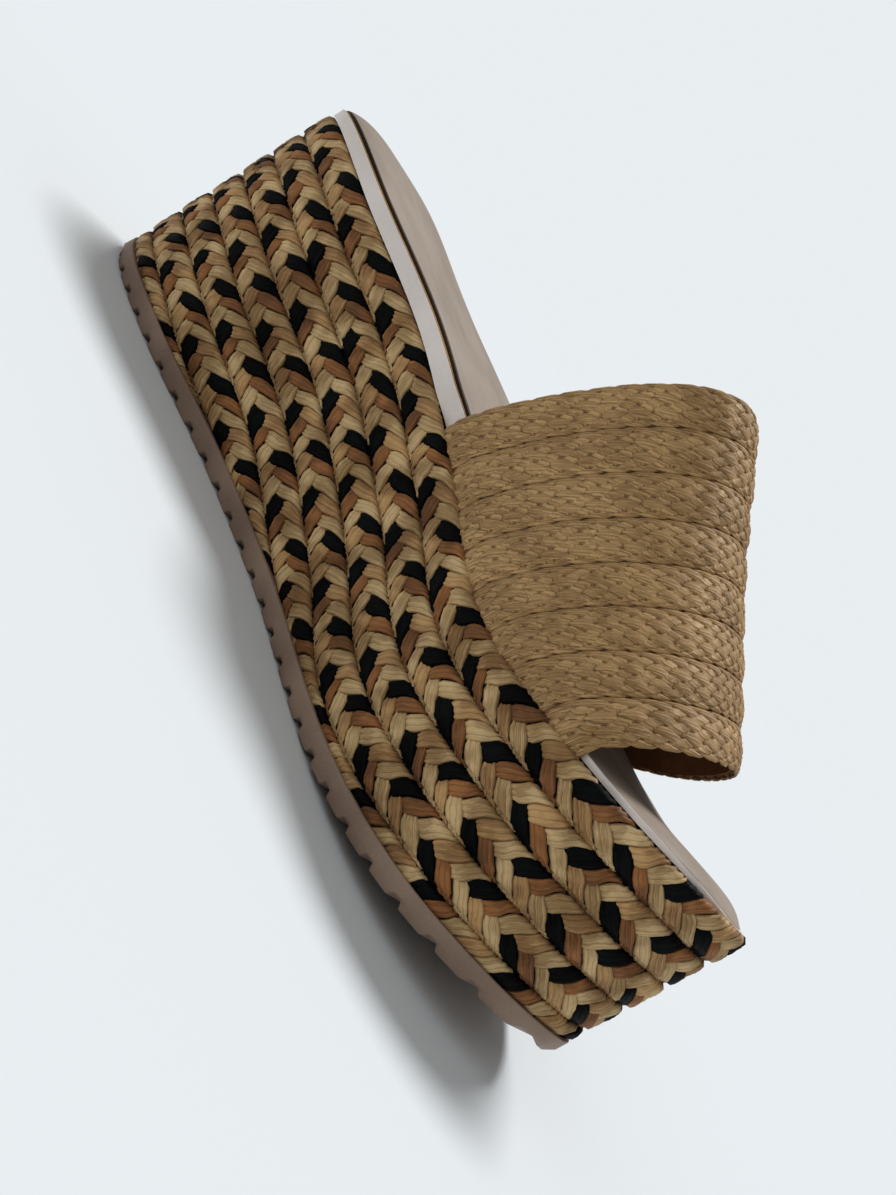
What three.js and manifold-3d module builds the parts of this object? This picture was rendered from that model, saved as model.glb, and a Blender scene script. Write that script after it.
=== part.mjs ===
// Platform slide mule for the left foot: a ribbed rubber outsole, a platform clad in rows of braid,
// a wrapped footbed with its sock, and one wide braided band that holds the foot.
// Millimetres. +X runs from heel to toe, +Y to the outer side of the foot, +Z up.
import * as THREE from 'three';
import { mergeVertices } from 'three/addons/utils/BufferGeometryUtils.js';
import Module from 'manifold-3d';

const wasm = await Module();
wasm.setup();

// Whole shoe
const shoeLength = 245;
const clearance = 0.3;
const weldDistance = 0.002;

// Plan of the sole: half widths to the inner and outer side, by distance from the heel
const plan = [
  { x: 0, inner: 0, outer: 0 },
  { x: 3, inner: 9.5, outer: 10.8 },
  { x: 11, inner: 20, outer: 22.2 },
  { x: 27, inner: 29.5, outer: 29.6 },
  { x: 55, inner: 32.4, outer: 32.4 },
  { x: 93, inner: 26.6, outer: 39.6 },
  { x: 131, inner: 28.4, outer: 47.6 },
  { x: 164, inner: 37.2, outer: 53.2 },
  { x: 190, inner: 43.2, outer: 51.8 },
  { x: 215, inner: 41.6, outer: 39.8 },
  { x: 232, inner: 30.5, outer: 22.4 },
  { x: 241, inner: 19, outer: 7.5 },
  { x: 245, inner: 5, outer: -5 },
];

// Height of the platform's top edge over the sole's underside
const topLine = [
  { x: 0, height: 64.6 },
  { x: 24, height: 65.8 },
  { x: 58, height: 62.9 },
  { x: 93, height: 59 },
  { x: 129, height: 51.5 },
  { x: 164, height: 44.6 },
  { x: 205, height: 45.2 },
  { x: 245, height: 46.3 },
];
const toeSpring = 11.9;
const toeSpringStart = 160;

// Outsole
const outsoleThickness = 5;
const outsoleEdgeBevel = 0.8;
const outsoleBevelHeight = 2;
const ribPitch = 9;
const ribCrest = 5.2;
const ribFlank = 1;
const ribDepth = 1.4;
const firstRib = 1.9;
const outsoleEndStations = [0, 0.35, 1.2, 3, 6];

// Platform and the braid rows round its side
const platformStations = 40;
const braidPitch = 9.3;
const braidRows = 7;
const braidRelief = 1.3;
const braidProfile = [0, 0.28, 0.72];

// Footbed and sock, and how thick the footbed is along the shoe
const footbedStations = 40;
const footbedDepth = [
  { x: 0, depth: 3.1 },
  { x: 24, depth: 3.5 },
  { x: 58, depth: 4.2 },
  { x: 93, depth: 4.7 },
  { x: 129, depth: 5.3 },
  { x: 164, depth: 4.8 },
  { x: 205, depth: 2.5 },
  { x: 245, depth: 1.3 },
];
const footbedInset = 0.7;
const footbedRound = 0.9;
const footbedToe = { start: 210, inset: 2.2 };
const crownFractions = [0, 0.05, 0.12, 0.25, 0.5, 0.75, 0.88, 0.95, 1];
const crownSideFullness = 2;
const crownEndFullness = 10;
const footbedCrown = [
  { x: 0, rise: 1.8 },
  { x: 22, rise: 3.2 },
  { x: 45, rise: 1.5 },
  { x: 75, rise: 0.4 },
  { x: 110, rise: 0.2 },
  { x: 164, rise: 0.3 },
  { x: 190, rise: 0.8 },
  { x: 205, rise: 1.4 },
  { x: 220, rise: 2.2 },
  { x: 232, rise: 2.3 },
  { x: 245, rise: 1.4 },
];
const sockThickness = 1.2;
const sockInset = 1.5;
const sockRound = 0.4;

// Band over the foot
const band = {
  rearInner: 117.5,
  rearOuter: 106,
  rearBow: 33.5,
  rearBowFullness: 1.35,
  frontInner: 209.5,
  frontOuter: 175,
  frontBow: 20.3,
  frontBowFullness: 1.27,
  rearRise: 66,
  frontRise: 22.2,
  riseFall: 1.2,
  squareness: 1.98,
  rearLean: -18.7,
  frontLean: -0.6,
  footInset: 1.1,
  wall: 2,
  relief: 1,
  rows: 8,
  stepsPerRow: 3,
  stepsAcross: 28,
  marginWidth: 10,
  marginThickness: 1.3,
};
const footbedRelief = 3.4;
const reliefMargin = 1;
const reliefBlend = 9;
const frontAdvance = 7;
const rebateSteps = 16;
const rebateSlack = 0.3;
const rebateOvercut = 1;

// Smooth value of a table's column at a place along its key column
function readTable(rows, key, column, at) {
  const last = rows.length - 2;
  let i = 0;
  while (i < last && rows[i + 1][key] < at) {
    i += 1;
  }
  const rise = (k) => (rows[k + 1][column] - rows[k][column]) / (rows[k + 1][key] - rows[k][key]);
  const slope = (k) => {
    if (k === 0) return rise(0);
    if (k === rows.length - 1) return rise(last);
    const before = rows[k][key] - rows[k - 1][key];
    const after = rows[k + 1][key] - rows[k][key];
    return (rise(k - 1) * after + rise(k) * before) / (before + after);
  };
  const span = rows[i + 1][key] - rows[i][key];
  const t = THREE.MathUtils.clamp((at - rows[i][key]) / span, 0, 1);
  const eased = t * t * (3 - 2 * t);
  const ends = rows[i][column] * (1 - eased) + rows[i + 1][column] * eased;
  return ends + span * t * (1 - t) * (slope(i) * (1 - t) - slope(i + 1) * t);
}

// Half turn from heel to toe that stands for a distance along the shoe, so that both ends come out round
const turnAt = (x) => Math.acos(THREE.MathUtils.clamp(1 - (2 * x) / shoeLength, -1, 1));
const planByTurn = plan.map((row) => ({ ...row, turn: turnAt(row.x) }));
const innerHalf = (x) => readTable(planByTurn, 'turn', 'inner', turnAt(x));
const outerHalf = (x) => readTable(planByTurn, 'turn', 'outer', turnAt(x));

// Ground line of the sole, lifted at the toe, and the platform's top above it
function groundLine(x) {
  const past = Math.max(0, x - toeSpringStart) / (shoeLength - toeSpringStart);
  return toeSpring * past * past;
}
const platformTop = (x) => groundLine(x) + readTable(topLine, 'x', 'height', x);

// Stations from heel to toe, close together at the rounded ends
function roundedStations(count) {
  const turns = Array.from({ length: count + 1 }, (_, i) => (Math.PI * i) / count);
  return turns.map((turn) => (shoeLength * (1 - Math.cos(turn))) / 2);
}

// Plan outline as a ring (heel, inner side, toe, outer side) with its outward directions
function planRing(stations) {
  const last = stations.length - 1;
  const innerSide = stations.map((x) => new THREE.Vector2(x, -innerHalf(x)));
  const outerSide = stations.slice(1, last).reverse().map((x) => new THREE.Vector2(x, outerHalf(x)));
  const points = [...innerSide, ...outerSide];
  const outward = points.map((_, i) => {
    const along = points[(i + 1) % points.length].clone().sub(points.at(i - 1));
    return new THREE.Vector2(along.y, -along.x).normalize();
  });
  return points.map((point, i) => ({ point, outward: outward[i] }));
}

// One level of a piece: the ring drawn in by an inset and set at a height, both read per ring point
function levelRing(ring, insetAt, heightAt) {
  return ring.map(({ point, outward }) => {
    const inset = insetAt(point.x, point.y);
    const x = point.x - outward.x * inset;
    return new THREE.Vector3(x, point.y - outward.y * inset, heightAt(point.x, x));
  });
}

// Closed geometry from loose triangles: corners welded, empty triangles left out
function weldedGeometry(triangles) {
  const loose = new THREE.BufferGeometry();
  const corners = triangles.flat().flatMap((corner) => corner.toArray());
  loose.setAttribute('position', new THREE.Float32BufferAttribute(corners, 3));
  const welded = mergeVertices(loose, weldDistance);
  const index = [];
  for (let i = 0; i < welded.index.count; i += 3) {
    const [a, b, c] = [0, 1, 2].map((k) => welded.index.getX(i + k));
    if (a !== b && b !== c && c !== a) {
      index.push(a, b, c);
    }
  }
  welded.setIndex(index);
  return welded;
}

const quad = (a, b, c, d) => [[a, b, c], [a, c, d]];

// Strips across a ring from the inner to the outer side, raised between its edges by the cap's crown
function capTriangles(ring, { fractions, rise }) {
  const half = ring.length / 2;
  const [heel, toe] = [ring[0].x, ring[half].x];
  const across = (i) => fractions.map((f) => {
    const point = ring[i].clone().lerp(ring[(ring.length - i) % ring.length], f);
    point.z += rise(f, (point.x - heel) / (toe - heel), point.x);
    return point;
  });
  const triangles = [];
  for (let i = 0; i < half; i += 1) {
    const here = across(i);
    const next = across(i + 1);
    for (let k = 0; k + 1 < fractions.length; k += 1) {
      triangles.push(...quad(here[k], next[k], next[k + 1], here[k + 1]));
    }
  }
  return triangles;
}

const flat = { fractions: [0, 1], rise: () => 0 };

// Soft crown of the footbed: full in the middle, rounded off toward its sides and ends
function crownRise(across, along, x) {
  const sides = 1 - (1 - 4 * across * (1 - across)) ** crownSideFullness;
  const ends = 1 - (1 - 4 * along * (1 - along)) ** crownEndFullness;
  return readTable(footbedCrown, 'x', 'rise', x) * sides * ends;
}
const crowned = { fractions: crownFractions, rise: crownRise };

// Solid through a stack of rings from bottom to top
function ringSolid(rings, bottomCap = flat, topCap = flat) {
  const triangles = [];
  for (let k = 0; k + 1 < rings.length; k += 1) {
    const [low, high] = [rings[k], rings[k + 1]];
    low.forEach((point, i) => {
      const next = (i + 1) % low.length;
      triangles.push(...quad(point, low[next], high[next], high[i]));
    });
  }
  const underside = capTriangles(rings[0], bottomCap);
  triangles.push(...underside.map(([a, b, c]) => [a, c, b]));
  triangles.push(...capTriangles(rings.at(-1), topCap));
  return weldedGeometry(triangles);
}

// Solid between an outer and an inner grid of points
function wallSolid(outer, inner) {
  const rows = outer.length - 1;
  const columns = outer[0].length - 1;
  const triangles = [];
  for (let i = 0; i < rows; i += 1) {
    for (let j = 0; j < columns; j += 1) {
      triangles.push(...quad(outer[i][j], outer[i + 1][j], outer[i + 1][j + 1], outer[i][j + 1]));
      triangles.push(...quad(inner[i][j + 1], inner[i + 1][j + 1], inner[i + 1][j], inner[i][j]));
    }
    const [start, end] = [0, columns];
    triangles.push(...quad(outer[i + 1][start], outer[i][start], inner[i][start], inner[i + 1][start]));
    triangles.push(...quad(outer[i][end], outer[i + 1][end], inner[i + 1][end], inner[i][end]));
  }
  for (let j = 0; j < columns; j += 1) {
    triangles.push(...quad(outer[0][j], outer[0][j + 1], inner[0][j + 1], inner[0][j]));
    triangles.push(...quad(outer[rows][j + 1], outer[rows][j], inner[rows][j], inner[rows][j + 1]));
  }
  return weldedGeometry(triangles);
}

function toSolid(geometry) {
  const vertProperties = geometry.attributes.position.array;
  const triVerts = new Uint32Array(geometry.index.array);
  return new wasm.Manifold(new wasm.Mesh({ numProp: 3, vertProperties, triVerts }));
}

function cutAway(geometry, cutters) {
  const solid = cutters.reduce((rest, cutter) => rest.subtract(toSolid(cutter)), toSolid(geometry));
  const { vertProperties, triVerts } = solid.getMesh();
  const cut = new THREE.BufferGeometry();
  cut.setAttribute('position', new THREE.BufferAttribute(vertProperties, 3));
  cut.setIndex(new THREE.BufferAttribute(triVerts, 1));
  return cut;
}

// Outsole: flat-crested ribs across the underside, scalloping its lower edge
function ribRise(x) {
  const place = THREE.MathUtils.euclideanModulo(x - firstRib, ribPitch);
  const intoGroove = (place - ribCrest) / ribFlank;
  const outOfGroove = (ribPitch - place) / ribFlank;
  return ribDepth * THREE.MathUtils.clamp(Math.min(intoGroove, outOfGroove), 0, 1);
}

function outsoleStations() {
  const ends = [...outsoleEndStations, ...outsoleEndStations.map((x) => shoeLength - x)];
  const breaks = [];
  for (let rib = firstRib; rib < shoeLength; rib += ribPitch) {
    breaks.push(rib, rib + ribCrest, rib + ribCrest + ribFlank, rib + ribPitch - ribFlank);
  }
  const nearest = (x) => Math.min(...ends.map((end) => Math.abs(end - x)));
  const inside = breaks.filter((x) => x < shoeLength && nearest(x) > ribFlank / 2);
  return [...ends, ...inside].sort((a, b) => a - b);
}

function outsoleGeometry() {
  const ring = planRing(outsoleStations());
  const level = (inset, rise) => levelRing(ring, () => inset, (x) => groundLine(x) + rise(x));
  return ringSolid([
    level(outsoleEdgeBevel, ribRise),
    level(0, () => outsoleBevelHeight),
    level(0, () => outsoleThickness),
  ]);
}

// Platform: braid rows run parallel to the top edge and are cut off by the outsole below
function braidInset(rowsDown) {
  const bulge = Math.sin(Math.PI * (rowsDown % 1));
  return braidRelief * (1 - bulge) ** 2;
}

function platformGeometry() {
  const ring = planRing(roundedStations(platformStations));
  const wallHeight = (x) => platformTop(x) - groundLine(x) - outsoleThickness - clearance;
  const rowsDownAt = (x, level) => Math.min(level, wallHeight(x) / braidPitch);
  const levels = [braidRows];
  for (let row = braidRows - 1; row >= 0; row -= 1) {
    levels.push(...braidProfile.map((fraction) => row + fraction).reverse());
  }
  const rings = levels.map((level) => levelRing(
    ring,
    (x) => braidInset(rowsDownAt(x, level)),
    (ringX, x) => platformTop(x) - rowsDownAt(ringX, level) * braidPitch,
  ));
  return ringSolid(rings);
}

// Band: its edges bow forward over the instep and its arch lowers toward the toes
function bandPoint(along, across) {
  const arch = Math.max(0, Math.sin(Math.PI * across));
  const rearBow = band.rearBow * arch ** band.rearBowFullness;
  const frontBow = band.frontBow * arch ** band.frontBowFullness;
  const rear = THREE.MathUtils.lerp(band.rearInner, band.rearOuter, across) + rearBow;
  const front = THREE.MathUtils.lerp(band.frontInner, band.frontOuter, across) + frontBow;
  const x = THREE.MathUtils.lerp(rear, front, along);
  const inner = -innerHalf(x) + band.footInset;
  const outer = outerHalf(x) - band.footInset;
  const side = -Math.cos(Math.PI * across);
  const power = 2 / band.squareness;
  const reach = Math.sign(side) * Math.abs(side) ** power;
  const lean = THREE.MathUtils.lerp(band.rearLean, band.frontLean, along);
  const y = (inner + outer) / 2 + ((outer - inner) / 2) * reach + lean * arch * arch;
  const rise = THREE.MathUtils.lerp(band.rearRise, band.frontRise, Math.max(0, along) ** band.riseFall);
  return new THREE.Vector3(x, y, platformTop(x) + clearance + rise * arch ** power);
}

function bandOutward(along, across) {
  const step = 1e-3;
  const difference = (at) => {
    const [low, high] = [-step, step].map((d) => at(d));
    return high.sub(low);
  };
  const forward = difference((d) => bandPoint(along + d, across));
  const sideways = difference((d) => bandPoint(along, across + d));
  return forward.cross(sideways).normalize();
}

// Lower end of the band on one side: turned in under the footbed as the lasting margin
function bandFoot(along, across) {
  const towardMiddle = across < 0.5 ? 1 : -1;
  const corner = bandPoint(along, across);
  const shifted = (inward, up) => corner.clone().add(new THREE.Vector3(0, towardMiddle * inward, up));
  return {
    outer: [shifted(band.marginWidth, 0), corner],
    inner: [shifted(band.marginWidth, band.marginThickness), shifted(band.wall, band.marginThickness)],
  };
}

function bandGeometry() {
  const steps = band.rows * band.stepsPerRow;
  const outer = [];
  const inner = [];
  for (let i = 0; i <= steps; i += 1) {
    const along = i / steps;
    const bulge = Math.sin((Math.PI * (i % band.stepsPerRow)) / band.stepsPerRow);
    const relief = band.relief * (1 - (1 - bulge) ** 2);
    const nearFoot = bandFoot(along, 0);
    const farFoot = bandFoot(along, 1);
    const outerRow = [...nearFoot.outer];
    const innerRow = [...nearFoot.inner];
    for (let j = 1; j < band.stepsAcross; j += 1) {
      const across = j / band.stepsAcross;
      const outward = bandOutward(along, across);
      outerRow.push(bandPoint(along, across).addScaledVector(outward, relief));
      innerRow.push(bandPoint(along, across).addScaledVector(outward, -band.wall));
    }
    outer.push([...outerRow, ...farFoot.outer.reverse()]);
    inner.push([...innerRow, ...farFoot.inner.reverse()]);
  }
  return wallSolid(outer, inner);
}

// Rear and front end of the band's foot on one side
const footEnds = (side) => (side < 0 ? [band.rearInner, band.frontInner] : [band.rearOuter, band.frontOuter]);

// Stretch of the footbed's edge beside the band, whose bowed front edge runs ahead of its foot
function reliefEnds(side) {
  const [rear, front] = footEnds(side);
  return [rear - reliefMargin, front + frontAdvance + reliefMargin];
}

// How far the footbed's edge draws in to let the band pass, 0 away from it and 1 beside it
function besideBand(x, y) {
  const [rear, front] = reliefEnds(y);
  const entering = THREE.MathUtils.smoothstep(x, rear - reliefBlend, rear);
  const leaving = THREE.MathUtils.smoothstep(x, front, front + reliefBlend);
  return entering * (1 - leaving);
}

// Stations of the footbed and sock, with one at each end of the stretch beside the band
function footbedRing() {
  const corners = [-1, 1].flatMap((side) => {
    const [rear, front] = reliefEnds(side);
    return [rear - reliefBlend, rear, front, front + reliefBlend];
  });
  const clear = (x) => corners.every((corner) => Math.abs(corner - x) > reliefMargin);
  const stations = [...corners, ...roundedStations(footbedStations).filter(clear)];
  return planRing(stations.sort((a, b) => a - b));
}

// Space under the footbed's edge that takes the band's margin on one side
function rebateCutter(side) {
  const [rear, front] = footEnds(side);
  const half = side < 0 ? innerHalf : outerHalf;
  const ceiling = clearance + band.marginThickness + rebateSlack;
  const outer = [];
  const inner = [];
  for (let i = 0; i <= rebateSteps; i += 1) {
    const x = THREE.MathUtils.lerp(rear - reliefMargin, front + reliefMargin, i / rebateSteps);
    const edge = half(x) + band.wall;
    const root = half(x) - band.footInset - band.marginWidth - rebateSlack;
    const [low, high] = [-rebateOvercut, ceiling].map((rise) => platformTop(x) + rise);
    const ends = side < 0 ? [-edge, -root] : [root, edge];
    outer.push(ends.map((y) => new THREE.Vector3(x, y, high)));
    inner.push(ends.map((y) => new THREE.Vector3(x, y, low)));
  }
  return wallSolid(outer, inner);
}

const footbedThickness = (x) => readTable(footbedDepth, 'x', 'depth', x);

// Inset of the footbed's edge from the outline, larger beside the band and at the toe
function footbedEdge(x, y) {
  const toe = THREE.MathUtils.smoothstep(x, footbedToe.start, shoeLength);
  return footbedInset + footbedRelief * besideBand(x, y) + footbedToe.inset * toe;
}

// Footbed: edge rounded above, crowned inside the sock's edge, rebated below for the band's margins
function footbedGeometry() {
  const ring = footbedRing();
  const level = (inset, rise) => levelRing(
    ring,
    (x, y) => footbedEdge(x, y) + inset,
    (ringX, x) => platformTop(x) + clearance + rise(x),
  );
  const block = ringSolid([
    level(0, () => 0),
    level(0, (x) => footbedThickness(x) - footbedRound),
    level(footbedRound, footbedThickness),
    level(sockInset, footbedThickness),
  ], flat, crowned);
  return cutAway(block, [rebateCutter(-1), rebateCutter(1)]);
}

// Sock: follows the footbed's crown inside its edge
function sockGeometry() {
  const ring = footbedRing();
  const base = (x) => clearance + footbedThickness(x) + clearance;
  const level = (inset, rise) => levelRing(
    ring,
    (x, y) => footbedEdge(x, y) + sockInset + inset,
    (ringX, x) => platformTop(x) + base(x) + rise,
  );
  return ringSolid([
    level(0, 0),
    level(0, sockThickness - sockRound),
    level(sockRound, sockThickness),
  ], crowned, crowned);
}

const pieces = [
  { name: 'outsole', geometry: outsoleGeometry(), colour: 0x7d685e, roughness: 0.8 },
  { name: 'platform', geometry: platformGeometry(), colour: 0xb08f62, roughness: 0.9 },
  { name: 'footbed', geometry: footbedGeometry(), colour: 0xb3a196, roughness: 0.6 },
  { name: 'sock', geometry: sockGeometry(), colour: 0xb79f90, roughness: 0.65 },
  { name: 'band', geometry: bandGeometry(), colour: 0x9c7a4f, roughness: 0.8 },
];

const shoe = new THREE.Group();
shoe.name = 'slide_mule';
for (const { name, geometry, colour, roughness } of pieces) {
  geometry.computeVertexNormals();
  const finish = { color: colour, roughness, metalness: 0, flatShading: true };
  const mesh = new THREE.Mesh(geometry, new THREE.MeshStandardMaterial(finish));
  mesh.name = name;
  shoe.add(mesh);
}

// Stand the shoe with the middle of its footprint on the origin
const box = new THREE.Box3().setFromObject(shoe);
const middle = box.getCenter(new THREE.Vector3());
shoe.position.set(-middle.x, -middle.y, -box.min.z);
shoe.updateMatrixWorld(true);

export default shoe;
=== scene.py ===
import math

import bpy
import numpy as np
from mathutils import Matrix, Vector


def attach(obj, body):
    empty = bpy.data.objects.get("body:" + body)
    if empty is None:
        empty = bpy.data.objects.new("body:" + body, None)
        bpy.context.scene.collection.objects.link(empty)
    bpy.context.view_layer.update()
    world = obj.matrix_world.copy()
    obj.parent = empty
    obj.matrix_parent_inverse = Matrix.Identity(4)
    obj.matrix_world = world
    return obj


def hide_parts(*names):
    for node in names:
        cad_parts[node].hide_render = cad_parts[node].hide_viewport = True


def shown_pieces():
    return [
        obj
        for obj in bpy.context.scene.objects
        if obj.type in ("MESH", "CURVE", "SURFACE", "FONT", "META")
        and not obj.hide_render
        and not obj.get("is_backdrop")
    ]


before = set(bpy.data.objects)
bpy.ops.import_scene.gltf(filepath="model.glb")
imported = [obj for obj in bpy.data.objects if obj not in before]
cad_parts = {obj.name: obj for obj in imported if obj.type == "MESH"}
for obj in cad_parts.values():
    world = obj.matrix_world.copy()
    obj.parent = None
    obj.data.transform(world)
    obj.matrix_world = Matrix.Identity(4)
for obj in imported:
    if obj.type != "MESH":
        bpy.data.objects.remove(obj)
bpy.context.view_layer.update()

mm = 0.001

# shape of the shoe in millimetres from the heel, the same numbers as in the solids
shoe = {
    "length": 245.0,
    "plan": [  # distance from the heel, half width inside, half width outside
        (0, 0, 0), (3, 9.5, 10.8), (11, 20, 22.2), (27, 29.5, 29.6), (55, 32.4, 32.4), (93, 26.6, 39.6),
        (131, 28.4, 47.6), (164, 37.2, 53.2), (190, 43.2, 51.8), (215, 41.6, 39.8), (232, 30.5, 22.4),
        (241, 19, 7.5), (245, 5, -5),
    ],
    "topEdge": [  # distance from the heel, height of the platform's top edge
        (0, 64.6), (24, 65.8), (58, 62.9), (93, 59), (129, 51.5), (164, 44.6), (205, 45.2), (245, 46.3),
    ],
    "toeSpring": 11.9,
    "springStart": 160.0,
    "outsole": 5.0,
    "gap": 0.3,
}


def readTable(keys, values, at):
    keys, values, at = (np.asarray(a, float) for a in (keys, values, at))
    span = np.diff(keys)
    rise = np.diff(values) / span
    slope = np.r_[rise[0], (rise[:-1] * span[1:] + rise[1:] * span[:-1]) / (span[:-1] + span[1:]), rise[-1]]
    i = np.clip(np.searchsorted(keys, at) - 1, 0, len(span) - 1)
    t = np.clip((at - keys[i]) / span[i], 0, 1)
    eased = t * t * (3 - 2 * t)
    ends = values[i] * (1 - eased) + values[i + 1] * eased
    return ends + span[i] * t * (1 - t) * (slope[i] * (1 - t) - slope[i + 1] * t)


def smooth(x, low, high):
    t = np.clip((np.asarray(x, float) - low) / (high - low), 0, 1)
    return t * t * (3 - 2 * t)


def turnAt(x):
    return np.arccos(np.clip(1 - 2 * np.asarray(x, float) / shoe["length"], -1, 1))


planX, planInner, planOuter = (np.array(column, float) for column in zip(*shoe["plan"]))
edgeX, edgeHeight = (np.array(column, float) for column in zip(*shoe["topEdge"]))


def innerHalf(x):
    return readTable(turnAt(planX), planInner, turnAt(x))


def outerHalf(x):
    return readTable(turnAt(planX), planOuter, turnAt(x))


def groundLine(x):
    past = np.maximum(0, np.asarray(x, float) - shoe["springStart"]) / (shoe["length"] - shoe["springStart"])
    return shoe["toeSpring"] * past ** 2


def edgeLine(x):
    return readTable(edgeX, edgeHeight, x)


def platformTop(x):
    return groundLine(x) + edgeLine(x)


stationCount = 361
stations = shoe["length"] * (1 - np.cos(np.linspace(0, np.pi, stationCount))) / 2
middle = np.array([shoe["length"] / 2, (outerHalf(stations).max() - innerHalf(stations).max()) / 2, 0])

# outline of the sole: heel, inner side, toe, outer side, with its length and outward directions
outline = np.r_[np.c_[stations, -innerHalf(stations)], np.c_[stations, outerHalf(stations)][-2:0:-1]]
outlineOut = np.roll(outline, -1, 0) - np.roll(outline, 1, 0)
outlineOut = np.c_[outlineOut[:, 1], -outlineOut[:, 0]] / np.linalg.norm(outlineOut, axis=1)[:, None]
outline, outlineOut = np.r_[outline, outline[:1]], np.r_[outlineOut, outlineOut[:1]]
outlineAt = np.r_[0, np.cumsum(np.linalg.norm(np.diff(outline, axis=0), axis=1))]
girth = outlineAt[-1]


def innerAt(x):  # place along the outline of a point on the inner side
    return np.interp(x, outline[:stationCount, 0], outlineAt[:stationCount])


def outerAt(x):
    fromToe = slice(None, stationCount - 2, -1)
    return girth - np.interp(x, outline[fromToe, 0], girth - outlineAt[fromToe])


def onOutline(s):
    s = np.mod(s, girth)
    spot = np.c_[[np.interp(s, outlineAt, outline[:, k]) for k in (0, 1)]].T
    out = np.c_[[np.interp(s, outlineAt, outlineOut[:, k]) for k in (0, 1)]].T
    return spot, out / np.linalg.norm(out, axis=1)[:, None]


def deselectAll():
    if bpy.context.object and bpy.context.object.mode != "OBJECT":
        bpy.ops.object.mode_set(mode="OBJECT")
    bpy.ops.object.select_all(action="DESELECT")


def pick(piece):
    deselectAll()
    piece.select_set(True)
    bpy.context.view_layer.objects.active = piece


def places(piece):
    co = np.empty(len(piece.data.vertices) * 3)
    piece.data.vertices.foreach_get("co", co)
    return co.reshape(-1, 3)


def setPlaces(piece, co):
    piece.data.vertices.foreach_set("co", np.ascontiguousarray(co, float).ravel())
    piece.data.update()


def toShoe(co):  # millimetres from the heel to metres in the frame of the solids
    return (co - middle) * mm


def addGrid(name, alongSteps, acrossSteps):
    deselectAll()
    bpy.ops.mesh.primitive_grid_add(x_subdivisions=alongSteps, y_subdivisions=acrossSteps, size=1,
                                    calc_uvs=True)
    piece = bpy.context.object
    piece.name = piece.data.name = name
    co = places(piece)
    return piece, co[:, 0] + 0.5, co[:, 1] + 0.5


def mergeDoubles(piece, distance=2e-6):
    pick(piece)
    bpy.ops.object.mode_set(mode="EDIT")
    bpy.ops.mesh.select_all(action="SELECT")
    bpy.ops.mesh.remove_doubles(threshold=distance)
    bpy.ops.object.mode_set(mode="OBJECT")


def faceOutward(piece):
    pick(piece)
    bpy.ops.object.mode_set(mode="EDIT")
    bpy.ops.mesh.select_all(action="SELECT")
    bpy.ops.mesh.normals_make_consistent(inside=False)
    bpy.ops.object.mode_set(mode="OBJECT")


def applyModifier(piece, kind, **values):
    pick(piece)
    modifier = piece.modifiers.new(kind.lower(), kind)
    for key, value in values.items():
        setattr(modifier, key, value)
    bpy.ops.object.modifier_apply(modifier=modifier.name)


def smoothByAngle(piece, degrees):
    pick(piece)
    bpy.ops.object.shade_smooth_by_angle(angle=math.radians(degrees))


def settle(piece, slotName, *nodes):
    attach(piece, "root")
    if nodes:
        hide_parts(*nodes)


def srgb(*levels):  # levels from 0 to 255 to the linear colour that Blender mixes
    linear = [((c / 255 + 0.055) / 1.055) ** 2.4 if c > 10 else c / 255 / 12.92 for c in levels]
    return (*linear, 1.0)


# shader groups and materials
noiseRange = (0.3, 0.7)  # where most of a noise lies


def newGroup(name, inputs, outputs):
    group = bpy.data.node_groups.new(name, "ShaderNodeTree")
    for socketName, kind, value in inputs:
        socket = group.interface.new_socket(name=socketName, in_out="INPUT", socket_type=kind)
        socket.default_value = value
    for socketName, kind in outputs:
        group.interface.new_socket(name=socketName, in_out="OUTPUT", socket_type=kind)
    return group, group.nodes.new("NodeGroupInput"), group.nodes.new("NodeGroupOutput")


def addNode(tree, kind, **values):
    node = tree.nodes.new(kind)
    for key, value in values.items():
        setattr(node, key, value)
    return node


def math2(tree, operation, a, b=None):
    node = addNode(tree, "ShaderNodeMath", operation=operation)
    for i, value in enumerate((a, b)):
        if value is None:
            continue
        if isinstance(value, (int, float)):
            node.inputs[i].default_value = value
        else:
            tree.links.new(value, node.inputs[i])
    return node.outputs[0]


def mixColours(tree, factor, a, b, blend="MIX"):
    node = addNode(tree, "ShaderNodeMix", data_type="RGBA", blend_type=blend)
    for socket, value in ((node.inputs[0], factor), (node.inputs[6], a), (node.inputs[7], b)):
        if isinstance(value, (int, float, tuple)):
            socket.default_value = value
        else:
            tree.links.new(value, socket)
    return node.outputs[2]


def remap(tree, value, low, high, toLow=0.0, toHigh=1.0):
    node = addNode(tree, "ShaderNodeMapRange", interpolation_type="SMOOTHSTEP")
    tree.links.new(value, node.inputs[0])
    for i, number in enumerate((low, high, toLow, toHigh)):
        node.inputs[i + 1].default_value = number
    return node.outputs[0]


def noiseOn(tree, vector, scale, detail=3.0, roughness=0.6):
    node = addNode(tree, "ShaderNodeTexNoise")
    node.inputs["Scale"].default_value = scale
    node.inputs["Detail"].default_value = detail
    node.inputs["Roughness"].default_value = roughness
    tree.links.new(vector, node.inputs["Vector"])
    return node.outputs["Fac"]


# fibres and plies that run along a yarn on its own UV map, with patches of tone over the whole piece, and
# painted shade in the valleys between the plies
fibres = {
    "patchScale": 95.0, "fleckScale": 420.0, "detail": 2.0, "wobble": 0.5, "patchOffset": 9.0,
    "strandDetail": 4.0, "strandRoughness": 0.65, "strandTone": 0.7, "toneRange": (0.12, 0.58),
    "stainRange": (0.52, 0.75), "grooveWidth": 0.5, "grooveShade": 0.3, "roughness": (0.72, 0.5),
    "strandHeight": 0.6, "fleckHeight": 0.2, "plyWidth": 0.8,
}


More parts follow.
